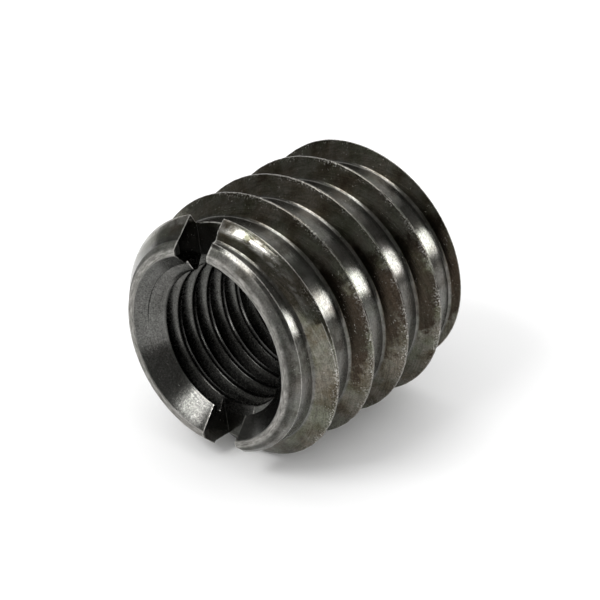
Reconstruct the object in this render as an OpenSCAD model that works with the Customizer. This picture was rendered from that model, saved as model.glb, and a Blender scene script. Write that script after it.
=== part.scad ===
// Slotted threaded insert, turned from one bar of steel.
// The plain end stands on z = 0 and the slotted, countersunk end is up.
// A coarse V thread outside cuts its own way into wood or soft metal.
// The bore is drawn at the minor diameter of the screw thread inside it.

/* [Body] */
// Length over both end faces
body_length = 24; // [20:0.5:40]
// Diameter over the crests of the outer thread
crest_d = 25; // [21:0.5:32]
// Height of the ridge over the root, which sets the root diameter
ridge_height = 1.9; // [1.2:0.1:2.4]
// Depth below the slotted end at which the lead-in cone reaches the root
lead_in_depth = 1.05; // [0.6:0.05:1.6]
// Slope of the lead-in cone, measured from a plane square to the axis
lead_in_angle = 48; // [35:1:55]
// Width of the edge left at the plain end, outside the root
end_edge = 0.15; // [0.1:0.05:0.8]

/* [Outer thread] */
// Distance between two turns of the ridge
ridge_pitch = 5; // [3.5:0.25:6]
// Width of the flat left on the crest of the ridge
crest_land = 0.2; // [0.1:0.05:0.6]
// Slope of each flank, measured from a plane square to the axis
flank_angle = 30; // [20:1:40]
// Depth of the first crest below the slotted end, in line with the slot
ridge_start = 2.5; // [1.5:0.1:4]
// Slope of the chamfer at the plain end, measured from the same plane
chamfer_angle = 45; // [35:1:55]

/* [Slotted end] */
// Width of the screwdriver slot
slot_w = 4; // [2.5:0.1:5]
// Depth of the screwdriver slot
slot_depth = 3.3; // [2:0.1:5]
// Width of the rim between the countersink and the lead-in cone
rim_width = 0.5; // [0.3:0.05:0.9]
// Radius of the rounded corner between the rim and the cone
rim_round = 0.35; // [0.1:0.05:0.6]
// Full angle of both countersinks
countersink_angle = 90; // [80:2:120]

/* [Bore] */
// Nominal diameter of the screw that fits inside
screw_d = 16; // [10:1:18]
// Pitch of the screw thread inside
screw_pitch = 2; // [1:0.25:2]
// How far the countersink at the plain end opens past the screw's diameter
back_countersink_over = 0.5; // [0.2:0.1:1.5]

/* [Hidden] */
$fn = 96;

// Steps in one turn of the ridge
STEPS = 48;
// How far the ridge reaches into the core, so that the two join in one solid
BURY = 0.6;
// How far a cut passes the face that it opens through
OVER = 1;
// Steps in the rounded corner of the rim
ROUND_STEPS = 6;
// Minor diameter of a 60 degree metric nut thread, as a share of the pitch
MINOR_SHARE = 1.0825;

crest_r = crest_d / 2;
root_r = crest_r - ridge_height;
end_r = root_r + end_edge;
bore_r = (screw_d - MINOR_SHARE * screw_pitch) / 2;
// Rise of the chamfer and of the lead-in cone for each millimetre of radius
chamfer_rise = tan(chamfer_angle);
lead_in_rise = tan(lead_in_angle);
// Radius at which the lead-in cone would meet the end face, were its corner left sharp
rim_r = root_r - lead_in_depth / lead_in_rise;
countersink_r = rim_r - rim_width;
back_countersink_r = screw_d / 2 + back_countersink_over / 2;

// The ridge, with its flanks carried on below the root into the core
buried_r = root_r - BURY;
crest_half = crest_land / 2;
buried_half = crest_half + (crest_r - buried_r) * tan(flank_angle);
// Whole turns that carry the ridge past both ends of the outline, by half a turn or more
first_turn = -ceil(ridge_start / ridge_pitch + 0.5);
last_turn = ceil((body_length - ridge_start) / ridge_pitch + 0.5);
ring_count = (last_turn - first_turn) * STEPS;

// Height of the ridge's middle at a given number of turns below its start
function ridge_z(turn) = body_length - ridge_start - ridge_pitch * turn;

// Four corners of the ridge's section at one ring. The turns run clockwise going down,
// seen from the slotted end, which makes the thread right-handed.
function ring(i) =
    let (turn = first_turn + i / STEPS, a = -360 * turn, z = ridge_z(turn))
    [for (c = [[buried_r, buried_half], [crest_r, crest_half],
               [crest_r, -crest_half], [buried_r, -buried_half]])
        [c[0] * cos(a), c[0] * sin(a), z + c[1]]];

// The ridge as one closed band: four sides between each two rings, and a cap at each end
module ridge() {
    points = [for (i = [0 : ring_count]) for (p = ring(i)) p];
    sides = [for (i = [0 : ring_count - 1]) for (k = [0 : 3])
        let (a = 4 * i + k, b = 4 * i + (k + 1) % 4)
        for (f = [[a, b, b + 4], [a, b + 4, a + 4]]) f];
    caps = [[3, 2, 1, 0], [for (k = [0 : 3]) 4 * ring_count + k]];
    polyhedron(points, concat(sides, caps), convexity = 12);
}

// The bar once it is threaded: the root cylinder and the ridge, both longer than the insert
module threaded_bar() {
    union() {
        translate([0, 0, -OVER])
            cylinder(r = root_r, h = body_length + 2 * OVER);
        ridge();
    }
}

// The turned outline that trims the bar: a chamfer at the plain end, and a lead-in cone
// that runs up to the rim's rounded corner. Between the two it is wider than the crest,
// so it trims the ridge at the ends alone.
module outline() {
    wide = crest_r + OVER;
    round_r = rim_r - rim_round * tan(lead_in_angle / 2);
    corner = [for (i = [ROUND_STEPS : -1 : 0])
        let (a = lead_in_angle * i / ROUND_STEPS)
        [round_r + rim_round * sin(a), body_length - rim_round * (1 - cos(a))]];
    rotate_extrude()
        polygon(concat(
            [[0, 0],
             [end_r, 0],
             [wide, (wide - end_r) * chamfer_rise],
             [wide, body_length - (wide - rim_r) * lead_in_rise]],
            corner,
            [[0, body_length]]));
}

// Everything bored out along the axis: the hole at the minor diameter and both countersinks
module bore() {
    slope = tan(countersink_angle / 2);
    top_depth = (countersink_r - bore_r) / slope;
    back_depth = (back_countersink_r - bore_r) / slope;
    translate([0, 0, -OVER])
        cylinder(r = bore_r, h = body_length + 2 * OVER);
    translate([0, 0, body_length - top_depth])
        cylinder(r1 = bore_r, r2 = countersink_r + OVER * slope, h = top_depth + OVER);
    translate([0, 0, -OVER])
        cylinder(r1 = back_countersink_r + OVER * slope, r2 = bore_r, h = back_depth + OVER);
}

// The screwdriver slot, sawn right across the end
module slot() {
    translate([-crest_r - OVER, -slot_w / 2, body_length - slot_depth])
        cube([2 * (crest_r + OVER), slot_w, slot_depth + OVER]);
}

module insert_body() {
    color([0.27, 0.26, 0.25])
        difference() {
            intersection() {
                threaded_bar();
                outline();
            }
            bore();
            slot();
        }
}

insert_body();
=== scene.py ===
# %% [markdown]
# # A slotted threaded insert
#
# The real part is a short steel sleeve that a lathe makes from one bar. It has a coarse
# thread outside, which cuts its own way into wood, and a fine screw thread inside. One end
# is countersunk and sawn across, so that a driver can turn it.
#
# The sleeve could be modelled by sweeping a cutter along a helix, as the lathe does, or by
# carving it with booleans. Here its section is worked out at many places around the axis,
# and the sections are joined into one skin. Every edge of both threads then runs along a
# row of the mesh, so it stays crisp, and the metal between the edges shades smoothly.

# %% Open the frame
import math
import random

import bmesh
import bpy
import numpy as np
from mathutils import Matrix, Vector


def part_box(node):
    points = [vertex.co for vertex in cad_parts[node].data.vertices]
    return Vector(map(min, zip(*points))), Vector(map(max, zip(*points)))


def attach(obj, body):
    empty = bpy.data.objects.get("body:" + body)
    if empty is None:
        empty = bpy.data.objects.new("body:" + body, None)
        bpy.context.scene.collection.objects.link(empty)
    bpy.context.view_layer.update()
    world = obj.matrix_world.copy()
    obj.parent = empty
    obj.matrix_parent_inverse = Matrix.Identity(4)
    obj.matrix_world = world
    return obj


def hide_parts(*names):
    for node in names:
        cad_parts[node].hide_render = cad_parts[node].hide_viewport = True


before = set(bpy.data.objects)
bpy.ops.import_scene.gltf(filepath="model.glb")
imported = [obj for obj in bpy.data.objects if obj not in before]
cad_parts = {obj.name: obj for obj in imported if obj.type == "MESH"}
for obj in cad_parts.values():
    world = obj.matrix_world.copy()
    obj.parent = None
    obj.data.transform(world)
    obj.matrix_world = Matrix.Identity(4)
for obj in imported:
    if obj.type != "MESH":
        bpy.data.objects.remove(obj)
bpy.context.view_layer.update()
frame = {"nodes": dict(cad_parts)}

MM = 0.001
low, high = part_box("insert_body")
LENGTH = (high.z - low.z) / MM
CREST_R = (high.x - low.x) / 2 / MM
print("frame: %s, %.2f mm long, %.2f mm over the crests" % (
    ", ".join(frame["nodes"]), LENGTH, 2 * CREST_R))

# %% [markdown]
# ## The sizes of the sleeve
#
# All sizes are in millimetres, and a depth is measured down from the slotted end. They are
# the ones that the turned part was designed with, and the length and the diameter come from
# the frame itself. They could be measured off the frame's mesh one by one, but a size with a
# name says what a maker would set on the lathe, so the rest are written down here.

# %% Sizes of the outer thread
RIDGE_HEIGHT = 1.9              # from the root of the thread to its crest
RIDGE_PITCH = 5.0               # crest to crest
RIDGE_START = 2.5               # depth of the first crest, in line with the slot
CREST_LAND = 0.2                # flat left on top of a ridge
FLANK = math.tan(math.radians(30))   # how far a flank leans for each mm of its height
ROOT_R = CREST_R - RIDGE_HEIGHT
print("outer thread: %.2f mm over the roots, %.1f turns" % (2 * ROOT_R, LENGTH / RIDGE_PITCH))

# %% Sizes of the two ends
LEAD_IN = 1.05                  # depth at which the lead-in cone meets the root
LEAD_FALL = 1 / math.tan(math.radians(48))   # how far the cone widens for each mm of depth
RIM_R = ROOT_R - LEAD_IN * LEAD_FALL         # where that cone would meet the end face
RIM_ROUND = 0.35                # rounded corner between the two
RIM_WIDTH = 0.5                 # rim between the countersink and the cone
MOUTH_R = RIM_R - RIM_WIDTH     # edge of the countersink
END_R = ROOT_R + 0.15           # outer edge of the plain end
print("slotted end: %.2f mm across the mouth" % (2 * MOUTH_R))

# %% Sizes of the screw thread and the slot
SCREW_R = 8.0                   # nominal radius of the screw that fits
SCREW_PITCH = 2.0
SCREW_START = 2.5               # depth of an inner ridge, in line with the slot
SCREW_LAND = SCREW_PITCH / 4    # flat on the ridge of a standard 60 degree nut thread
MINOR_SHARE = 1.0825            # its bore is this many pitches less across than the screw
TAP_OVER = 0.12                 # a tap cuts its grooves this much past the screw's radius
GROOVE_R = SCREW_R + TAP_OVER
BORE_R = SCREW_R - MINOR_SHARE * SCREW_PITCH / 2
BACK_MOUTH_R = SCREW_R + 0.25   # countersink at the plain end
SLOT_W = 4.0
SLOT_DEPTH = 3.3
print("bore %.3f mm, slot %.1f by %.1f mm" % (2 * BORE_R, SLOT_W, SLOT_DEPTH))

# %% [markdown]
# ## One pitch of each thread
#
# A thread's shape is a short outline that repeats once a pitch. Its points are pairs: how
# far along the axis from the middle of the ridge, and the radius there. A lathe tool has a
# small nose radius, so the foot of each flank ends in a fillet, and use has rounded the
# crest. A Bevel modifier could round these edges after the mesh is made, but it gives every
# edge the same width. Here each is a short arc in the outline itself, because these narrow
# curves catch the light as the bright lines that make a thread look like metal.

# %% Rounded corners
def arc_points(corner, before, after, radius, steps):
    """Points that round a corner of an outline, from the side of before to that of after."""
    corner = np.array(corner, float)
    a = np.array(before, float) - corner
    b = np.array(after, float) - corner
    a /= np.linalg.norm(a)
    b /= np.linalg.norm(b)
    half = math.acos(float(np.clip(a @ b, -1, 1))) / 2
    reach = radius / math.tan(half)
    centre = corner + (a + b) / np.linalg.norm(a + b) * radius / math.sin(half)
    first = corner + a * reach - centre
    last = corner + b * reach - centre
    swing = math.pi - 2 * half
    points = []
    for i in range(steps + 1):
        t = i / steps
        points.append(centre + (first * math.sin((1 - t) * swing) + last * math.sin(t * swing))
                      / math.sin(swing))
    return points


print("a corner in 3 steps has %d points" % len(arc_points((0, 0), (0, 1), (1, 0), 0.5, 3)))

# %% Half a pitch
SUPPORT = 0.04                  # points this near a rounding keep the flat beside it flat


def half_outline(pitch, land, top_r, bottom_r, crest_round, foot_round, arc_steps):
    """Half of one pitch, from the middle of the crest to the middle of the root."""
    top = (land / 2, top_r)
    foot = (land / 2 + abs(top_r - bottom_r) * FLANK, bottom_r)
    crest = arc_points(top, (0, top_r), foot, crest_round, arc_steps)
    fillet = arc_points(foot, top, (pitch / 2, bottom_r), foot_round, arc_steps)
    down = (fillet[0] - crest[-1]) / np.linalg.norm(fillet[0] - crest[-1])
    points = [np.array((0.0, top_r))] + crest
    points += [crest[-1] + down * SUPPORT, fillet[0] - down * SUPPORT] + fillet
    if pitch / 2 - fillet[-1][0] > 4 * SUPPORT:
        points.append(fillet[-1] + np.array((SUPPORT, 0.0)))
    points.append(np.array((pitch / 2, bottom_r)))
    return points


CREST_ROUND_UP = 0.05           # the crest's corner towards the slotted end, nearly sharp
CREST_ROUND_DOWN = 0.16         # its other corner, rounded by use
FOOT_ROUND = 0.34               # the nose of the threading tool
RIDGE_UP = half_outline(RIDGE_PITCH, CREST_LAND, CREST_R, ROOT_R,
                        crest_round=CREST_ROUND_UP, foot_round=FOOT_ROUND, arc_steps=3)
RIDGE_DOWN = half_outline(RIDGE_PITCH, CREST_LAND, CREST_R, ROOT_R,
                          crest_round=CREST_ROUND_DOWN, foot_round=FOOT_ROUND, arc_steps=3)
SCREW_HALF = half_outline(SCREW_PITCH, SCREW_LAND, BORE_R, GROOVE_R,
                          crest_round=0.10, foot_round=0.07, arc_steps=1)
print("half a ridge: %d points, half a screw thread: %d" % (len(RIDGE_UP), len(SCREW_HALF)))

# %% A whole pitch
def one_pitch(before, after):
    """A whole pitch from two halves: from the root's middle over the crest to before the next."""
    mirrored = [np.array((-p[0], p[1])) for p in reversed(before)]
    return np.array(mirrored + after[1:-1])


RIDGE = one_pitch(RIDGE_UP, RIDGE_DOWN)
SCREW = one_pitch(SCREW_HALF, SCREW_HALF)
print("points in a pitch: %d outside, %d inside" % (len(RIDGE), len(SCREW)))

# %% [markdown]
# ## Nicks in the crest
#
# A thread that has been driven and handled loses small chips from its sharp crest. They
# could be left to a bump map, but a chip breaks the outline against the background, and only
# real shape does that. So each step of the helix gets its own small loss, from a random
# generator with a fixed seed, which gives the same nicks on every run.

# %% Nicks
STATIONS = 288                  # sections around the axis
WORN_TURNS = 8                  # turns of crest that get their own nicks
CREST_CHIPS = 0.03              # roughness of the crest's edge
NICKS = 34                      # nicks spread over all the turns of the crest
NICK_DEPTH = 0.12
SHALLOWEST = 0.4                # share of that depth in the shallowest nick
NICK_SHAPE = ((-1, 0.5), (0, 1.0), (1, 0.4))   # share of its depth one step either side
NICK_SEED = 7


def crest_wear(count):
    """How much is knocked off the crest at each step of the helix: a little, and some nicks."""
    chance = random.Random(NICK_SEED)
    worn = np.array([chance.random() for _ in range(count)])
    worn = CREST_CHIPS * worn * worn
    for _ in range(NICKS):
        at = chance.randrange(count)
        deep = NICK_DEPTH * (SHALLOWEST + (1 - SHALLOWEST) * chance.random())
        for near, part in NICK_SHAPE:
            worn[(at + near) % count] += deep * part
    return worn


WORN = crest_wear(WORN_TURNS * STATIONS)
print("crest: %.3f mm off on average, %.2f mm at the deepest nick" % (WORN.mean(), WORN.max()))

# %% [markdown]
# ## The section at one place around the axis
#
# A thread's outline slides along the axis by one pitch for each turn. At the ends it meets
# plain turned shapes: a lead-in cone and a chamfer outside, and two countersinks inside.
# Booleans with cones would cut the same shapes, but they leave long thin triangles along
# the cut. Here whatever stands past such a shape is moved onto it, and the last point moved
# is set on the very edge where the two meet. That keeps the edge a clean curve.

# %% The thread's points
WEAR_REACH = 0.06               # the nicks move the points this near the crest


def thread_at(outline, pitch, start, share, turns, worn=None):
    """The thread's points at a share of a full turn, as rows of depth and radius."""
    rows = []
    for turn in range(turns[0], turns[1] + 1):
        one = outline + np.array((start + pitch * (turn - share), 0.0))
        if worn is not None:
            step = round((turn - share) * STATIONS)
            one[outline[:, 1] > CREST_R - WEAR_REACH, 1] -= worn[step % len(worn)]
        rows.append(one)
    return np.concatenate(rows)


RIDGE_TURNS = (-1, 6)           # first and last turn, which carry the ridge past both ends
SCREW_TURNS = (-3, 12)          # the same for the screw thread
print("untrimmed: %d points outside" % len(
    thread_at(RIDGE, RIDGE_PITCH, RIDGE_START, 0.0, RIDGE_TURNS, WORN)))

# %% Trim to a turned shape
def trim(points, limit, side, top, bottom):
    """Moves what stands past limit(depth) onto it. side is 1 outside and -1 in the bore."""
    depth = points[:, 0]
    radius = points[:, 1]
    gap = side * (radius - limit(depth))
    past = gap > 0
    out = points.copy()
    out[past, 1] = limit(depth[past])
    for i in range(len(points) - 1):
        if past[i] != past[i + 1]:
            t = gap[i] / (gap[i] - gap[i + 1])
            edge = points[i] + (points[i + 1] - points[i]) * t
            out[i if past[i] else i + 1] = edge
    ends = []
    for level in (top, bottom):
        r = np.interp(level, depth, radius)
        ends.append(side * min(side * r, side * limit(np.array([level]))[0]))
    out[out[:, 0] < top] = (top, ends[0])
    out[out[:, 0] > bottom] = (bottom, ends[1])
    return out


RUBBED_TO = 4.0                 # depth down to which driving has rubbed the first turn's crest
RUB_SLOPE = 0.30                # how much of the crest is gone for each mm above that


def outer_limit(depth):
    """Radius of the lead-in cone, the rubbed first crest and the plain end's chamfer."""
    rubbed = CREST_R + np.minimum(depth - RUBBED_TO, 0) * RUB_SLOPE
    rubbed = np.where(depth < RUBBED_TO, rubbed, CREST_R + 1)
    return np.minimum(np.minimum(RIM_R + depth * LEAD_FALL, rubbed), END_R + LENGTH - depth)


def inner_limit(depth):
    """Radius of the countersink at each end, both at 45 degrees."""
    return np.maximum(MOUTH_R - depth, BACK_MOUTH_R - (LENGTH - depth))


print("outside at 1, 2.5 and 23 mm:", outer_limit(np.array([1.0, 2.5, 23.0])).round(2))

# %% The whole section
MOUTH_ROUND = 0.12              # rounded corner between the countersink and the rim


def rim_points():
    """The rim, from the countersink's edge outwards to the top of the lead-in cone."""
    mouth = arc_points((0, MOUTH_R), (1, MOUTH_R - 1), (0, RIM_R), MOUTH_ROUND, 3)
    corner = arc_points((0, RIM_R), (0, MOUTH_R), (1, RIM_R + LEAD_FALL), RIM_ROUND, 5)
    return np.array(mouth + corner)


RIM = rim_points()


def section(share):
    """The closed outline of the sleeve's wall at a share of a full turn."""
    outside = thread_at(RIDGE, RIDGE_PITCH, RIDGE_START, share, RIDGE_TURNS, WORN)
    outside = trim(outside, outer_limit, 1, RIM[-1][0], LENGTH)
    inside = thread_at(SCREW, SCREW_PITCH, SCREW_START, share, SCREW_TURNS)
    inside = trim(inside, inner_limit, -1, RIM[0][0], LENGTH)
    return np.concatenate([RIM, outside, inside[::-1]])


print("points in a section:", len(section(0.0)))

# %% [markdown]
# ## The skin
#
# The sections stand around the axis like the pages of an open book, and quads join each to
# the next. A Screw modifier could spin one outline in the same way, but it cannot trim the
# threads at the ends. The last page lies on the first, one pitch further along, so welding
# the points that coincide closes both helices.

# %% Points around the axis
def turn_points(rows, share):
    """Puts a section's rows of depth and radius in place around the axis, in metres."""
    angle = 2 * math.pi * share
    depth = rows[:, 0]
    radius = rows[:, 1]
    return np.stack([radius * math.cos(angle), radius * math.sin(angle), LENGTH - depth],
                    axis=1) * MM


sections = [section(i / STATIONS) for i in range(STATIONS + 1)]
points = np.concatenate([turn_points(rows, i / STATIONS) for i, rows in enumerate(sections)])
print("points around the axis:", len(points))

# %% Join the sections
across = len(sections[0])
quads = []
for i in range(STATIONS):
    for j in range(across):
        k = (j + 1) % across
        quads.append((i * across + j, (i + 1) * across + j,
                      (i + 1) * across + k, i * across + k))

skin = bpy.data.meshes.new("insert_sleeve")
skin.from_pydata([tuple(p) for p in points], [], quads)
sleeve = bpy.data.objects.new("insert_sleeve", skin)
bpy.context.scene.collection.objects.link(sleeve)
print("quads:", len(quads))

# %% Weld the skin shut
WELD = 0.002 * MM               # points nearer than this are one point
TINY_EDGE = 0.001 * MM          # edges shorter than this are dropped
bm = bmesh.new()
bm.from_mesh(skin)
bmesh.ops.remove_doubles(bm, verts=bm.verts, dist=WELD)
bmesh.ops.dissolve_degenerate(bm, edges=bm.edges, dist=TINY_EDGE)
bmesh.ops.recalc_face_normals(bm, faces=bm.faces)
open_edges = sum(1 for e in bm.edges if not e.is_manifold)
volume = bm.calc_volume() / MM ** 3
bm.to_mesh(skin)
bm.free()
print("skin: %d faces, %.0f mm3, open edges %d" % (len(skin.polygons), volume, open_edges))

# %% [markdown]
# ## The slot
#
# A slitting saw cuts the slot straight across the finished end, so its walls pass through
# the threads and leave sharp lips. The points could be moved by hand onto those walls, but
# the Boolean modifier does here just what the saw does. Its exact solver keeps the skin
# closed, and its result is taken as the sleeve's mesh, so that no modifier is left.

# %% Saw blade
BLADE_OVER = 4.0                # how much longer the blade is than the sleeve is wide
blade_size = Vector((2 * CREST_R + BLADE_OVER, SLOT_W, 2 * SLOT_DEPTH)) * MM
blade_place = Matrix.Translation((0, 0, LENGTH * MM)) @ Matrix.Diagonal(blade_size).to_4x4()
blade = bpy.data.meshes.new("blade")
bm = bmesh.new()
bmesh.ops.create_cube(bm, size=1.0)
bmesh.ops.transform(bm, matrix=blade_place, verts=bm.verts)
bm.to_mesh(blade)
bm.free()
saw = bpy.data.objects.new("saw", blade)
bpy.context.scene.collection.objects.link(saw)
print("blade: %.1f mm wide, %.1f mm deep" % (blade_size.y / MM, blade_size.z / 2 / MM))

# %% Saw the slot
cut = sleeve.modifiers.new("slot", "BOOLEAN")
cut.operation = "DIFFERENCE"
cut.solver = "EXACT"
cut.object = saw
graph = bpy.context.evaluated_depsgraph_get()
cut_mesh = bpy.data.meshes.new_from_object(sleeve.evaluated_get(graph))
sleeve.modifiers.clear()
sleeve.data = cut_mesh
bpy.data.objects.remove(saw)

bm = bmesh.new()
bm.from_mesh(sleeve.data)
triangles = sum(len(f.verts) - 2 for f in bm.faces)
open_edges = sum(1 for e in bm.edges if not e.is_manifold)
bm.free()
print("sawn: %d faces, %d triangles, open edges %d" % (
    len(sleeve.data.polygons), triangles, open_edges))

# %% Smooth the metal between the edges
SHARP_OVER = math.radians(35)   # an edge that turns by more than this stays sharp
for p in sleeve.data.polygons:
    p.use_smooth = True
sleeve.data.set_sharp_from_angle(angle=SHARP_OVER)
print("sharp edges over %.0f degrees" % math.degrees(SHARP_OVER))

# %% [markdown]
# ## The steel
#
# The sleeve is plain steel, turned on a lathe. Machined steel that has lain about is dark:
# a thin oxide film covers it, with brown and green casts, and only the parts that rub on
# other things stay bright. To the eye that is a dark, glossy, slightly uneven metal with
# ragged pale edges.
#
# The film could be a clear coat over bright metal. It is drawn instead as one metal whose
# colour changes, because so thin a film shows as a tint and not as a layer. Steel starts
# from metallic 1, the default IOR, and a roughness of about 0.2 where it is finely turned
# and 0.5 where it is rubbed dull, and is matched from there. All that changes over the
# surface is worked out from the place on it, so nothing is wrapped around the threads.
#
# One helper adds every node. The sockets are given by number: in Math, 0 and 1 are the two
# values. In MapRange, 0 is the value, 1 and 2 the span it is read over, and 3 and 4 what
# that becomes, which is 0 to 1 if they are left out. In Mix, 0 is the share, 2 and 3 are
# two numbers, and 6 and 7 two colours.

# %% Colours from hex
def linear(hex_colour):
    """An sRGB hex colour as Blender's linear colour with alpha."""
    out = []
    for i in (0, 2, 4):
        c = int(hex_colour.lstrip("#")[i:i + 2], 16) / 255
        out.append(c / 12.92 if c <= 0.04045 else ((c + 0.055) / 1.055) ** 2.4)
    return (*out, 1.0)


print("middle grey #808080 is %.3f in linear light" % linear("#808080")[0])

# %% Node helper
def add(tree, kind, inputs=None, out=0, stops=(), **settings):
    """Adds one node and gives back one of its outputs.

    inputs maps a socket's name or number to a value, or to the output that feeds it. stops
    are a colour ramp's (place, colour) pairs, where a plain number is a grey.
    """
    made = tree.nodes.new("ShaderNode" + kind)
    for name, value in settings.items():
        setattr(made, name, value)
    for key, value in (inputs or {}).items():
        if isinstance(value, bpy.types.NodeSocket):
            tree.links.new(value, made.inputs[key])
        else:
            made.inputs[key].default_value = value
    for i, (at, colour) in enumerate(stops):
        bar = made.color_ramp.elements
        stop = bar[i] if i < len(bar) else bar.new(1.0)
        stop.position = at
        stop.color = colour if isinstance(colour, tuple) else (colour, colour, colour, 1.0)
    return made.outputs[out]


steel = bpy.data.materials.new("turned_steel")
steel.use_nodes = True
tree = steel.node_tree
shader = tree.nodes["Principled BSDF"]
shader.inputs["Metallic"].default_value = 1.0
print("material:", steel.name)

# %% Places on the sleeve
# Along is the way over the surface from end to end. Height alone would smear a pattern
# across the flat end, where all points are equally high, so the radius is added to it.
PER_MM = 1 / MM
place = add(tree, "TexCoord", out="Object")
x, y, z = add(tree, "SeparateXYZ", {0: place}).node.outputs
flat = add(tree, "CombineXYZ", {0: x, 1: y})
radius = add(tree, "VectorMath", {0: flat}, "Value", operation="LENGTH")
depth = add(tree, "Math", {0: LENGTH * MM, 1: z}, operation="SUBTRACT")
along = add(tree, "Math", {0: z, 1: radius}, operation="ADD")
unrolled = add(tree, "CombineXYZ", {0: x, 1: y, 2: along})


def around(length, width):
    """Stretches the surface for streaks this long around the axis and this wide, in mm."""
    scale = (PER_MM / length, PER_MM / length, PER_MM / width)
    return add(tree, "VectorMath", {0: unrolled, 1: scale}, operation="MULTIPLY")


print("steel: %d nodes say where a point is" % len(tree.nodes))

# %% [markdown]
# ## Where the metal is bare
#
# Bright metal shows where the sleeve has rubbed: on its outer edges, on the rim, on the
# crests, and on the lips that the saw left. Each of these is a mask, from 0 for the film to
# 1 for bare metal. They could be painted by hand, but then they would not follow a change
# of size. A mask is built from a place, such as a span of radius or depth, times a noise
# that breaks it up, because even wear looks like paint.

# %% Rubbed edges
# The Bevel node rounds the surface for shading. Where that turns the surface away from its
# own direction there is an edge, and ambient occlusion tells a ridge from a groove.
EDGE_ROUND = 0.14               # how far each side of an edge the wear can reach
EDGE_TURN = (0.95, 0.994)       # cosine of that turn where wear is full, and where it ends
OPEN_WITHIN = 0.8               # how near other metal has to be to shade a point
RIDGE_OPEN = (0.86, 0.97)       # how open a point is where a ridge begins, and where it is full
EDGE_CHIPS = 0.22               # bits of film left on an edge, a fifth of a millimetre
RIM_FROM = 9.0                  # radius at which the countersink ends and the rim begins
open_air = add(tree, "AmbientOcclusion", {"Distance": OPEN_WITHIN * MM}, "AO", samples=4)
bare = add(tree, "NewGeometry", out="Normal")
rounded = add(tree, "Bevel", {"Radius": EDGE_ROUND * MM}, samples=6)
same = add(tree, "VectorMath", {0: bare, 1: rounded}, "Value", operation="DOT_PRODUCT")
edge = add(tree, "ValToRGB", {0: same}, stops=[(EDGE_TURN[0], 1.0), (EDGE_TURN[1], 0.0)])
convex = add(tree, "MapRange", {0: open_air, 1: RIDGE_OPEN[0], 2: RIDGE_OPEN[1]})
outer = add(tree, "MapRange", {0: radius, 1: (RIM_FROM - 0.4) * MM, 2: RIM_FROM * MM})
broken = add(tree, "TexNoise", {"Vector": place, "Scale": PER_MM / EDGE_CHIPS, "Detail": 5.0,
                                "Roughness": 0.7})
patchy = add(tree, "ValToRGB", {0: broken}, stops=[(0.40, 0.15), (0.52, 1.0)])
edge_wear = edge
for mask in (convex, outer, patchy):
    edge_wear = add(tree, "Math", {0: edge_wear, 1: mask}, operation="MULTIPLY")
print("steel: %d nodes with the rubbed edges" % len(tree.nodes))

# %% Scratched rim
CONE_FADE = (0.60, 0.80)        # depths over which the dull top of the lead-in cone fades out
RIM_FADE = (0.06, 0.26)         # depths over which the scratches on the rim fade out
SCRATCH = (0.9, 0.12)           # a scratch that a driver's blade leaves: length and width
past_mouth = add(tree, "MapRange", {0: radius, 1: RIM_FROM * MM, 2: (RIM_FROM + 0.15) * MM})
cone = add(tree, "MapRange", {0: depth, 1: CONE_FADE[0] * MM, 2: CONE_FADE[1] * MM,
                              3: 1.0, 4: 0.0})
cone = add(tree, "Math", {0: cone, 1: past_mouth}, operation="MULTIPLY")
rim = add(tree, "MapRange", {0: depth, 1: RIM_FADE[0] * MM, 2: RIM_FADE[1] * MM,
                             3: 1.0, 4: 0.0})
rim = add(tree, "Math", {0: rim, 1: past_mouth}, operation="MULTIPLY")
scratch = add(tree, "TexNoise", {"Vector": around(*SCRATCH), "Scale": 1.0, "Detail": 5.0,
                                 "Roughness": 0.7})
scratch = add(tree, "ValToRGB", {0: scratch}, stops=[(0.38, 0.18), (0.50, 0.42), (0.64, 0.80)])
rim_wear = add(tree, "Math", {0: rim, 1: scratch}, operation="MULTIPLY")
print("steel: %d nodes with the rim" % len(tree.nodes))

# %% Bruised crests
# Real bruises go down to a few hundredths of a millimetre. Those would not show, so they
# are drawn a sixth of a millimetre across, and they come in groups as real knocks do.
CREST_BAND = (0.55, 0.12)       # bruises begin, and are full, this far under the crest
BRUISE = 0.17
GROUP = 1.4                     # groups of bruises, a millimetre or two apart
SPARK = (0.22, 0.09)            # bright specks where the film has flaked, drawn coarse too
near_crest = add(tree, "MapRange", {0: radius, 1: (CREST_R - CREST_BAND[0]) * MM,
                                    2: (CREST_R - CREST_BAND[1]) * MM})
bruise = add(tree, "TexNoise", {"Vector": place, "Scale": PER_MM / BRUISE, "Detail": 4.0,
                                "Roughness": 0.75})
groups = add(tree, "TexNoise", {"Vector": place, "Scale": PER_MM / GROUP, "Detail": 4.0,
                                "Roughness": 0.6})
groups = add(tree, "ValToRGB", {0: groups}, stops=[(0.44, 0.12), (0.60, 1.0)])
scraps = add(tree, "ValToRGB", {0: bruise}, stops=[(0.53, 0.0), (0.62, 0.9)])
scraps = add(tree, "Math", {0: scraps, 1: near_crest}, operation="MULTIPLY")
sparks = add(tree, "TexNoise", {"Vector": around(*SPARK), "Scale": 1.0, "Detail": 3.0,
                                "Roughness": 0.7})
sparks = add(tree, "ValToRGB", {0: sparks}, stops=[(0.62, 0.0), (0.72, 0.6)])
scraps = add(tree, "Math", {0: scraps, 1: sparks}, operation="MAXIMUM")
scraps = add(tree, "Math", {0: scraps, 1: groups}, operation="MULTIPLY")
print("steel: %d nodes with the bruises" % len(tree.nodes))

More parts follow.
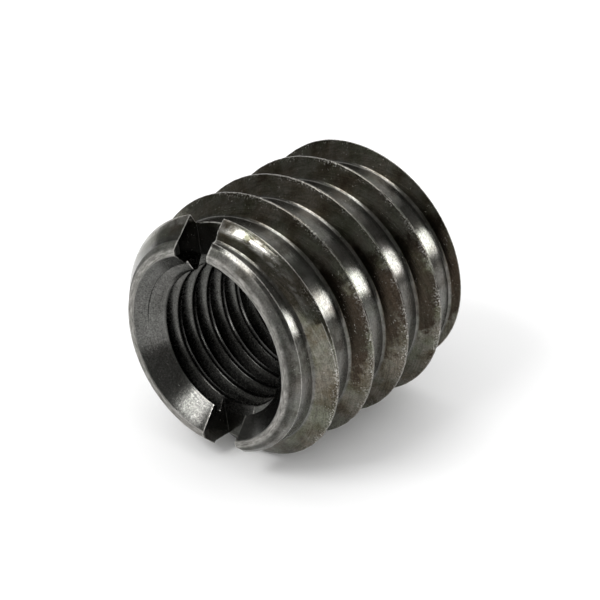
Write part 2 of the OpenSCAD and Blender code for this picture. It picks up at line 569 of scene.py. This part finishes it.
# %% Lips of the slot
# The saw turns up a thin bright burr along each lip. It lies outside the slot's own walls,
# so the mask starts just past them and fades out over the next fifth of a millimetre.
SLOT_HALF = SLOT_W / 2
BURR_STARTS = (0.005, 0.03)     # distances from the wall over which the burr sets in
BURR_FADES = (0.05, 0.22)       # and over which it fades out
BURR_UP = 0.4                   # height over the slot's floor at which it is full
beside = add(tree, "Math", {0: y}, operation="ABSOLUTE")
off_wall = add(tree, "MapRange", {0: beside, 1: (SLOT_HALF + BURR_STARTS[0]) * MM,
                                  2: (SLOT_HALF + BURR_STARTS[1]) * MM})
by_slot = add(tree, "MapRange", {0: beside, 1: (SLOT_HALF + BURR_FADES[0]) * MM,
                                 2: (SLOT_HALF + BURR_FADES[1]) * MM, 3: 1.0, 4: 0.0})
above_floor = add(tree, "MapRange", {0: depth, 1: (SLOT_DEPTH - BURR_UP) * MM,
                                     2: SLOT_DEPTH * MM, 3: 1.0, 4: 0.0})
burr = add(tree, "ValToRGB", {0: bruise}, stops=[(0.42, 0.05), (0.54, 1.0)])
for mask in (off_wall, by_slot, above_floor):
    burr = add(tree, "Math", {0: burr, 1: mask}, operation="MULTIPLY")
print("steel: %d nodes with the slot's lips" % len(tree.nodes))

# %% Smeared first turn
SMEAR = (1.6, 0.22)             # metal dragged along the first turn as the sleeve is driven
SMEAR_ENDS = 3.0                # depth at which it has faded out
SMEAR_UP = (0.7, 0.9)           # heights over the root at which it sets in
first_turn = add(tree, "MapRange", {0: depth, 1: RIDGE_START * MM, 2: SMEAR_ENDS * MM,
                                    3: 1.0, 4: 0.0})
high_up = add(tree, "MapRange", {0: radius, 1: (ROOT_R + SMEAR_UP[0]) * MM,
                                 2: (ROOT_R + SMEAR_UP[1]) * MM})
smear = add(tree, "TexNoise", {"Vector": around(*SMEAR), "Scale": 1.0, "Detail": 6.0,
                               "Roughness": 0.7})
smear = add(tree, "ValToRGB", {0: smear}, stops=[(0.44, 0.0), (0.53, 0.62)])
for mask in (first_turn, high_up):
    smear = add(tree, "Math", {0: smear, 1: mask}, operation="MULTIPLY")

wear = edge_wear
for more in (rim_wear, burr, smear, scraps):
    wear = add(tree, "Math", {0: wear, 1: more}, operation="MAXIMUM")
print("steel: %d nodes with all the bare metal" % len(tree.nodes))

# %% [markdown]
# ## The colour of the film
#
# An oxide film is a little thicker here and thinner there, so its colour wanders over a few
# millimetres between warm grey and greenish grey. One flat grey would make the sleeve look
# like painted plastic. Here a broad noise picks the grey, the flanks along one side are darkened
# to a dark brown as painted shade, and a list of darker shades is multiplied over that: the
# rings of the turning tool, specks, painted shade in the grooves, in the slot and on the inner
# flats, gouges and slip marks. Bare metal comes last, over all of it.

# %% Greys of the film
BLOTCH = 2.4                    # clouds of thicker and thinner film, in mm across
blotch = add(tree, "TexNoise", {"Vector": place, "Scale": PER_MM / BLOTCH, "Detail": 8.0,
                                "Roughness": 0.66})
film = add(tree, "ValToRGB", {0: blotch}, stops=[
    (0.34, linear("#4a4338")), (0.42, linear("#5f5b4e")), (0.49, linear("#6b695e")),
    (0.57, linear("#79776e")), (0.68, linear("#6d6a5f"))])
print("steel: %d nodes with the film's greys" % len(tree.nodes))

# %% Painted shade on the flanks along one side
# The flanks of the inner turns that face one side are darkened to a dark brown: painted shade,
# standing in for the dark that these flanks reflect there.
SIDE_SHADE_TURN = math.radians(-82)  # the side it lies on, as a turn around the axis
SIDE_SHADE_COLOUR = "#3d372f"
SIDE_SHADE_RAGS = 1.6                # ragged bites out of its edge, in mm
SIDE_SHADE_REACH = 0.09              # how far they move the edge
SIDE_SHADE_SLANT = 0.06              # and how far it leans over from the root to the crest
SIDE_SHADE_EDGE = (0.88, 0.95)       # cosine of the turn from its middle where it begins, and is full
SIDE_SHADE_DEPTH = (5.0, 5.6)        # depths at which the shaded turns begin
FLANK_UP = (0.08, 0.2)          # heights over the root at which a flank begins
NOISE_SPAN = (0.3, 0.7)         # nearly all of a noise's values lie between these
side_shade_way = (math.cos(SIDE_SHADE_TURN), math.sin(SIDE_SHADE_TURN), 0.0)
outward = add(tree, "VectorMath", {0: flat}, operation="NORMALIZE")
facing = add(tree, "VectorMath", {0: outward, 1: side_shade_way}, "Value", operation="DOT_PRODUCT")
ragged = add(tree, "TexNoise", {"Vector": place, "Scale": PER_MM / SIDE_SHADE_RAGS, "Detail": 6.0,
                                "Roughness": 0.7})
ragged = add(tree, "MapRange", {0: ragged, 1: NOISE_SPAN[0], 2: NOISE_SPAN[1],
                                3: -SIDE_SHADE_REACH, 4: SIDE_SHADE_REACH})
slant = add(tree, "MapRange", {0: radius, 1: ROOT_R * MM, 2: CREST_R * MM,
                               3: SIDE_SHADE_SLANT, 4: -SIDE_SHADE_SLANT})
for shift in (ragged, slant):
    facing = add(tree, "Math", {0: facing, 1: shift}, operation="ADD")
side_shade = add(tree, "MapRange", {0: facing, 1: SIDE_SHADE_EDGE[0], 2: SIDE_SHADE_EDGE[1]})
on_flank = add(tree, "MapRange", {0: radius, 1: (ROOT_R + FLANK_UP[0]) * MM,
                                  2: (ROOT_R + FLANK_UP[1]) * MM})
inner_turns = add(tree, "MapRange", {0: depth, 1: SIDE_SHADE_DEPTH[0] * MM, 2: SIDE_SHADE_DEPTH[1] * MM})
for mask in (on_flank, inner_turns):
    side_shade = add(tree, "Math", {0: side_shade, 1: mask}, operation="MULTIPLY")
film = add(tree, "Mix", {0: side_shade, 6: film, 7: linear(SIDE_SHADE_COLOUR)}, 2, data_type="RGBA")
print("steel: %d nodes with the stain" % len(tree.nodes))

# %% Green and pink casts
# The flanks keep their full tint. The root, the rim and the inside are nearer to plain grey.
CAST = 3.2                      # patches of one cast, in mm across
ROOT_TINT = 0.45                # share of its tint that the film keeps off the flanks
INSIDE_GREY = "#6a6a68"
INSIDE_SHARE = 0.65             # how far the film inside goes towards that grey
casts = add(tree, "TexNoise", {"Vector": place, "Scale": PER_MM / CAST, "Detail": 5.0,
                               "Roughness": 0.6})
casts = add(tree, "ValToRGB", {0: casts}, stops=[
    (0.40, linear("#f8fff6")), (0.50, linear("#ffffff")), (0.60, linear("#fff7f4"))])
film = add(tree, "Mix", {0: 1.0, 6: film, 7: casts}, 2, data_type="RGBA",
           blend_type="MULTIPLY")
tint = add(tree, "MapRange", {0: on_flank, 3: ROOT_TINT, 4: 1.0})
film = add(tree, "HueSaturation", {"Saturation": tint, "Color": film})
inside = add(tree, "MapRange", {0: radius, 1: RIM_FROM * MM, 2: (RIM_FROM + 0.2) * MM,
                                3: INSIDE_SHARE, 4: 0.0})
film = add(tree, "Mix", {0: inside, 6: film, 7: linear(INSIDE_GREY)}, 2, data_type="RGBA")
print("steel: %d nodes with the casts" % len(tree.nodes))

# %% Turning rings, specks and painted shade in the grooves
# A finishing cut leaves a ring every twentieth of a millimetre or so, and these are drawn at
# that size. Real specks of rust and dust are mostly finer than that, so they are drawn
# coarser, at a seventh of a millimetre. Where other metal is near, which ambient occlusion
# finds, the colour is darkened: painted shade in the grooves and corners.
RING = (2.5, 0.05)
SPECK = 0.14
GROOVE_SHADE_OPEN = (0.25, 0.60)        # how open a point is where the painted shade is full, and where it ends
GROOVE_SHADE_LEVEL = 0.45
streaks = add(tree, "TexNoise", {"Vector": around(*RING), "Scale": 1.0, "Detail": 4.0,
                                 "Roughness": 0.65})
streaks = add(tree, "ValToRGB", {0: streaks}, stops=[(0.34, 0.60), (0.66, 1.06)])
specks = add(tree, "TexNoise", {"Vector": place, "Scale": PER_MM / SPECK, "Detail": 2.0})
specks = add(tree, "ValToRGB", {0: specks}, stops=[(0.32, 0.68), (0.56, 1.05)])
# Painted shade: the colour is darkened where other metal is near, in the grooves and corners.
groove_shade = add(tree, "MapRange", {0: open_air, 1: GROOVE_SHADE_OPEN[0], 2: GROOVE_SHADE_OPEN[1],
                              3: GROOVE_SHADE_LEVEL, 4: 1.0})
print("steel: %d nodes with rings, specks and dirt" % len(tree.nodes))

# %% Painted shade in the slot, and gouges
# The slot's walls and floor are darkened in colour: painted shade in the slot. Gouges are the
# dark side of the bruises: they cover the crests fully and the rest at about a third.
SLOT_SHADE_FADES = (0.01, 0.03)      # distances into the metal over which the slot's painted shade fades out
SLOT_SHADE_LEVEL = 0.45
GOUGE_SHARE = 0.35              # how much of the gouges shows away from the crests
slot_shade_side = add(tree, "MapRange", {0: beside, 1: (SLOT_HALF + SLOT_SHADE_FADES[0]) * MM,
                                    2: (SLOT_HALF + SLOT_SHADE_FADES[1]) * MM, 3: 1.0, 4: 0.0})
slot_shade_deep = add(tree, "MapRange", {0: depth, 1: (SLOT_DEPTH + SLOT_SHADE_FADES[0]) * MM,
                                    2: (SLOT_DEPTH + SLOT_SHADE_FADES[1]) * MM, 3: 1.0, 4: 0.0})
# Painted shade in the slot: its walls and floor are darkened in colour.
scale = add(tree, "Math", {0: slot_shade_side, 1: slot_shade_deep}, operation="MULTIPLY")
scale = add(tree, "MapRange", {0: scale, 3: 1.0, 4: SLOT_SHADE_LEVEL})
gouges = add(tree, "ValToRGB", {0: bruise}, stops=[(0.37, 0.30), (0.47, 1.0)])
all_over = add(tree, "MapRange", {0: near_crest, 3: GOUGE_SHARE, 4: 1.0})
gouges = add(tree, "Mix", {0: all_over, 2: 1.0, 3: gouges})
print("steel: %d nodes with the slot walls and gouges" % len(tree.nodes))

# %% Marks and painted shade inside
# The flats on the inner ridges are darkened in colour: painted shade, standing in for the dark
# far wall of the bore that they reflect. In the countersink a driver that slipped leaves marks
# down the cone, so these run along it, not around it.
SLIP = (0.14, 2.4)
SLIP_FROM = (7.15, 7.3)         # radii at which the slip marks set in, above the screw thread
SLIP_DEPTH = (2.0, 2.3)         # depths over which they fade out
LAND_ENDS = (6.95, 7.07)        # radii over which the dark flats fade out
LAND_PAINTED_SHADE = 0.40
# Painted shade: the flats on the inner ridges are darkened in colour.
land = add(tree, "MapRange", {0: radius, 1: LAND_ENDS[0] * MM, 2: LAND_ENDS[1] * MM,
                              3: LAND_PAINTED_SHADE, 4: 1.0})
slips = add(tree, "TexNoise", {"Vector": around(*SLIP), "Scale": 1.0, "Detail": 4.0,
                               "Roughness": 0.6})
slips = add(tree, "ValToRGB", {0: slips}, stops=[(0.36, 0.62), (0.62, 1.14)])
in_mouth = add(tree, "MapRange", {0: radius, 1: SLIP_FROM[0] * MM, 2: SLIP_FROM[1] * MM})
in_mouth = add(tree, "Math", {0: in_mouth, 1: past_mouth}, operation="SUBTRACT")
shallow = add(tree, "MapRange", {0: depth, 1: SLIP_DEPTH[0] * MM, 2: SLIP_DEPTH[1] * MM,
                                 3: 1.0, 4: 0.0})
in_mouth = add(tree, "Math", {0: in_mouth, 1: shallow}, operation="MULTIPLY")
slips = add(tree, "Mix", {0: in_mouth, 2: 1.0, 3: slips})
print("steel: %d nodes with the marks inside" % len(tree.nodes))

# %% Put the colour together
BARE_COLOUR = "#c4c2bd"         # clean rubbed steel
# Of these shades, the grooves', the slot's and the inner flats' are painted shade; the rest are
# marks on the metal.
for shade in (streaks, specks, groove_shade, scale, gouges, land, slips):
    film = add(tree, "Mix", {0: 1.0, 6: film, 7: shade}, 2, data_type="RGBA",
               blend_type="MULTIPLY")
colour = add(tree, "Mix", {0: wear, 6: film, 7: linear(BARE_COLOUR)}, 2, data_type="RGBA")
tree.links.new(colour, shader.inputs["Base Color"])
print("steel: %d nodes with all its colour" % len(tree.nodes))

# %% [markdown]
# ## Gloss and grain
#
# The film keeps the gloss of the turned surface, with a roughness that wanders about 0.2.
# Rubbed metal is covered in scratches that run every way, so it is rougher and catches a
# lamp from all round, which is why the bare edges look pale from any side. The relief could
# be modelled, but it is hundredths of a millimetre deep, so bump is enough. The soft bevel
# under it gives each sharp edge the small rounding that real metal has.

# %% Gloss
GRAIN = 0.25                    # real oxide grain is microns across: drawn this coarse to show
FILM_ROUGH = (0.12, 0.25)       # roughness of the film where it is glossiest and dullest
CONE_ROUGH = 0.48               # how much rougher the rim's cone is than the film
RUB_ROUGH = 0.42                # and the rubbed edges
SCRAP_SHARE = 0.6               # and how much of that the bruises have
BORE_ROUGH = 0.07               # and the screw thread, which a tap leaves a little dull
BORE_ENDS = (8.14, 8.20)        # radii over which that ends, just past the grooves
SINK_ENDS = (0.05, 0.15)        # distances past the countersink over which it begins
grain = add(tree, "TexNoise", {"Vector": place, "Scale": PER_MM / GRAIN, "Detail": 5.0,
                               "Roughness": 0.65})
gloss = add(tree, "MapRange", {0: grain, 1: NOISE_SPAN[0], 2: NOISE_SPAN[1],
                               3: FILM_ROUGH[0], 4: FILM_ROUGH[1]})
rubbed = add(tree, "Math", {0: scraps, 1: SCRAP_SHARE}, operation="MULTIPLY")
rubbed = add(tree, "Math", {0: rubbed, 1: edge_wear}, operation="MAXIMUM")
rubbed = add(tree, "Math", {0: rubbed, 1: RUB_ROUGH}, operation="MULTIPLY")
in_bore = add(tree, "MapRange", {0: radius, 1: BORE_ENDS[0] * MM, 2: BORE_ENDS[1] * MM,
                                 3: BORE_ROUGH, 4: 0.0})
past_sink = add(tree, "Math", {0: radius, 1: depth}, operation="ADD")
past_sink = add(tree, "MapRange", {0: past_sink, 1: (MOUTH_R + SINK_ENDS[0]) * MM,
                                   2: (MOUTH_R + SINK_ENDS[1]) * MM})
in_bore = add(tree, "Math", {0: in_bore, 1: past_sink}, operation="MULTIPLY")
rougher = add(tree, "Math", {0: cone, 1: CONE_ROUGH}, operation="MULTIPLY")
for more in (rubbed, in_bore):
    rougher = add(tree, "Math", {0: rougher, 1: more}, operation="MAXIMUM")
roughness = add(tree, "Math", {0: gloss, 1: rougher}, operation="ADD")
tree.links.new(roughness, shader.inputs["Roughness"])
print("steel: %d nodes with the gloss" % len(tree.nodes))

# %% Relief
SOFT_EDGE = 0.06                # rounding that the bevel gives to every edge
RING_RELIEF = (3.0, 0.05)       # the tool's rings, at their real spacing
RING_DEPTH = 0.008
PIT = 0.20                      # real pits are about a tenth of this: drawn coarser to show
PIT_DEPTH = 0.010
soft = add(tree, "Bevel", {"Radius": SOFT_EDGE * MM}, samples=6)
rings = add(tree, "TexNoise", {"Vector": around(*RING_RELIEF), "Scale": 1.0, "Detail": 3.0})
rings = add(tree, "Bump", {"Strength": 0.5, "Distance": RING_DEPTH * MM, "Height": rings,
                           "Normal": soft})
pits = add(tree, "TexNoise", {"Vector": place, "Scale": PER_MM / PIT, "Detail": 5.0,
                              "Roughness": 0.7})
pits = add(tree, "Bump", {"Strength": 0.26, "Distance": PIT_DEPTH * MM, "Height": pits,
                          "Normal": rings})
tree.links.new(pits, shader.inputs["Normal"])
print("steel: %d nodes in all" % len(tree.nodes))

# %% Hand the sleeve to the frame
sleeve.data.materials.clear()
sleeve.data.materials.append(steel)
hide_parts("insert_body")
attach(sleeve, "root")
print("sleeve: material", sleeve.data.materials[0].name)

# %% [markdown]
# ## The floor
#
# The sleeve lies on its side on a sheet of matt white paper, pressed and uncoated, which
# gives the eye a plain pale ground and a soft shadow. The sleeve stays where the frame has
# it, so the floor is the part that leans: its upward way is square to the axis. A box room
# would close off the views from below, so the paper is one sheet, and the camera looks
# through it from behind. Uncoated paper starts from a roughness of 0.9 and the default IOR.

# %% Floor
FLOOR_TURN = math.radians(-9.5) # the way up from the floor, as a turn around the axis
FLOOR_UP = Vector((math.cos(FLOOR_TURN), math.sin(FLOOR_TURN), 0))
MIDDLE = Vector((0, 0, LENGTH / 2)) * MM
FLOOR_HALF = 900 * MM
lowest = MIDDLE - FLOOR_UP * CREST_R * MM
lengthways = Vector((0, 0, 1)) * FLOOR_HALF
crossways = FLOOR_UP.cross(Vector((0, 0, 1))) * FLOOR_HALF
ways = ((-1, -1), (1, -1), (1, 1), (-1, 1))
corners = [lowest + lengthways * a + crossways * b for a, b in ways]
sheet = bpy.data.meshes.new("studio_floor")
sheet.from_pydata([tuple(c) for c in corners], [], [(0, 1, 2, 3)])
floor = bpy.data.objects.new("studio_floor", sheet)
bpy.context.scene.collection.objects.link(floor)
print("floor: faces the sleeve by %.3f" % sheet.polygons[0].normal.dot(FLOOR_UP))

# %% Paper
PAPER_WHITE = 0.95              # share of the light that white paper gives back
paper = bpy.data.materials.new("white_paper")
paper.use_nodes = True
paper_tree = paper.node_tree
paper_shader = paper_tree.nodes["Principled BSDF"]
paper_shader.inputs["Base Color"].default_value = (PAPER_WHITE, PAPER_WHITE, PAPER_WHITE, 1)
paper_shader.inputs["Roughness"].default_value = 0.9
from_behind = add(paper_tree, "NewGeometry", out="Backfacing")
seen = add(paper_tree, "LightPath", out="Is Camera Ray")
hide = add(paper_tree, "Math", {0: from_behind, 1: seen}, operation="MULTIPLY")
clear = add(paper_tree, "BsdfTransparent")
paper_out = add(paper_tree, "MixShader", {0: hide, 1: paper_shader.outputs[0], 2: clear})
paper_tree.links.new(paper_out, paper_tree.nodes["Material Output"].inputs[0])
sheet.materials.append(paper)
print("material:", paper.name)

# %% [markdown]
# ## The camera
#
# A small part is best seen through a long lens from a little way off, because a short lens
# close up would make the near end look swollen. The camera looks down on the slotted end
# from one side, so that the slot, the countersink and the flanks all show. It could be aimed
# with a Track To constraint. Here its three axes are worked out from where it stands, what
# it looks at and the floor's upward way, which keeps the floor level in the view.

# %% Camera
PLACE = Vector((78.35, -128.93, 145.07)) * MM   # where the camera stands
AIM = Vector((-0.07, -0.62, 11.45)) * MM        # what it looks at, near the sleeve's middle
cam = bpy.data.cameras.new("camera")
cam.lens = 128.2
cam.sensor_width = 36
cam.clip_start = 0.01
camera = bpy.data.objects.new("camera", cam)
bpy.context.scene.collection.objects.link(camera)
back = (PLACE - AIM).normalized()
right = (-back).cross(FLOOR_UP).normalized()
up = right.cross(-back).normalized()
camera.matrix_world = Matrix((
    (right.x, up.x, back.x, PLACE.x),
    (right.y, up.y, back.y, PLACE.y),
    (right.z, up.z, back.z, PLACE.z),
    (0, 0, 0, 1)))
bpy.context.scene.camera = camera
print("camera: %.0f mm away" % ((PLACE - AIM).length / MM))

# %% [markdown]
# ## The lamps
#
# Metal is lit by what it reflects, so each lamp is a softbox: a broad, even rectangle whose
# reflection is a clean bright shape along a flank. Point lamps would leave hard dots. The
# left box also lights the paper and casts the shadow. The other two are there for their
# reflections alone, so they would wash the shadow out if they lit anything else.

# %% Directions from the sleeve
TOWARDS = (back - FLOOR_UP * back.dot(FLOOR_UP)).normalized()
BESIDE = FLOOR_UP.cross(TOWARDS)


def direction(turn, rise):
    """A direction from the object: turn to the camera's right, rise over the floor, degrees."""
    t = math.radians(turn)
    e = math.radians(rise)
    return (TOWARDS * math.cos(t) + BESIDE * math.sin(t)) * math.cos(e) + FLOOR_UP * math.sin(e)


print("straight up is %.3f along the floor's way" % direction(0, 90).dot(FLOOR_UP))

# %% Lamps
def softbox(name, turn, rise, distance, wide, high, radiance, key=False):
    """A lamp of wide by high metres that faces the object, as bright as radiance.

    A key lamp lights what is matt too. Any other lamp shows in reflections alone.
    """
    data = bpy.data.lights.new(name, "AREA")
    data.shape = "RECTANGLE"
    data.size = wide
    data.size_y = high
    data.energy = radiance * math.pi * wide * high
    lamp = bpy.data.objects.new(name, data)
    bpy.context.scene.collection.objects.link(lamp)
    out = direction(turn, rise)
    level = FLOOR_UP.cross(out).normalized()
    tall = out.cross(level)
    spot = MIDDLE + out * distance
    lamp.matrix_world = Matrix((
        (level.x, tall.x, out.x, spot.x),
        (level.y, tall.y, out.y, spot.y),
        (level.z, tall.z, out.z, spot.z),
        (0, 0, 0, 1)))
    lamp.visible_camera = False
    lamp.visible_diffuse = key
    print("%s: %.2f W" % (name, data.energy))


softbox("right_softbox", turn=98, rise=16, distance=0.45, wide=0.18, high=0.13, radiance=10.0)
softbox("left_softbox", turn=-54, rise=49, distance=0.50, wide=0.23, high=0.13, radiance=10.0,
        key=True)
softbox("top_softbox", turn=-60, rise=80, distance=0.50, wide=0.28, high=0.28, radiance=5.0)

# %% [markdown]
# ## Dark cloth around bright metal
#
# Steel in an all-white room looks flat, because it has nothing dark to reflect. So dark
# cloth hangs round the object on the camera's side, with a gap at the back where the white
# wall shows. It could be painted into the world instead, but a real piece of cloth takes its
# brightness from the room, as it does in a studio. It is there for the reflections alone,
# so the camera, the floor's light and the shadows do not meet it. It is grey wool felt,
# pressed and not woven, which is as matt as cloth can be: its roughness is 1.

# %% Cloth
CLOTH_AWAY = 620 * MM
CLOTH_TURNS = range(-140, 126, 5)   # degrees to the camera's right, which leaves the back open
CLOTH_RISES = range(-1, 90, 9)      # degrees over the floor, from just under it
cloth_points = [MIDDLE + direction(turn, rise) * CLOTH_AWAY
                for turn in CLOTH_TURNS for rise in CLOTH_RISES]
cloth_faces = []
for i in range(len(CLOTH_TURNS) - 1):
    for j in range(len(CLOTH_RISES) - 1):
        k = i * len(CLOTH_RISES) + j
        cloth_faces.append((k, k + 1, k + 1 + len(CLOTH_RISES), k + len(CLOTH_RISES)))
cloth_mesh = bpy.data.meshes.new("dark_cloth")
cloth_mesh.from_pydata([tuple(p) for p in cloth_points], [], cloth_faces)
dark_cloth = bpy.data.objects.new("dark_cloth", cloth_mesh)
bpy.context.scene.collection.objects.link(dark_cloth)
print("cloth: %d faces" % len(cloth_faces))

# %% Felt
felt = bpy.data.materials.new("grey_felt")
felt.use_nodes = True
felt_shader = felt.node_tree.nodes["Principled BSDF"]
felt_shader.inputs["Base Color"].default_value = (0.17, 0.17, 0.165, 1)
felt_shader.inputs["Roughness"].default_value = 1.0
cloth_mesh.materials.append(felt)
for ray_kind in ("camera", "diffuse", "shadow", "transmission"):
    setattr(dark_cloth, "visible_" + ray_kind, False)
print("material:", felt.name)

# %% [markdown]
# ## The room
#
# A white room fills in the light that the lamps leave out. What the camera and the
# reflections see is exactly white, and the light that it casts is set apart from that, a
# little brighter, so that the paper renders pale. A panorama of a real studio could light
# it too, but plain white keeps the colours as they are written. World sampling is off, because
# light that is sampled from the world does not know which kind of ray asked for it, and the
# reflections would then get the fill's strength as well.

# %% World
FILL = 1.06                     # strength of the light that the room casts
world = bpy.data.worlds.new("studio")
bpy.context.scene.world = world
world.use_nodes = True
world.cycles.sampling_method = "NONE"
world_tree = world.node_tree
ray = add(world_tree, "LightPath").node.outputs
shown = add(world_tree, "Math", {0: ray["Is Camera Ray"], 1: ray["Is Glossy Ray"]},
            operation="MAXIMUM")
shown = add(world_tree, "Math", {0: shown, 1: ray["Is Transmission Ray"]},
            operation="MAXIMUM")
white = add(world_tree, "Background", {0: (1, 1, 1, 1), 1: 1.0})
fill = add(world_tree, "Background", {0: (1, 1, 1, 1), 1: FILL})
room = add(world_tree, "MixShader", {0: shown, 1: fill, 2: white})
world_tree.links.new(room, world_tree.nodes["World Output"].inputs[0])
bpy.context.scene.view_settings.view_transform = "Standard"
print("world: fill %.2f" % FILL)
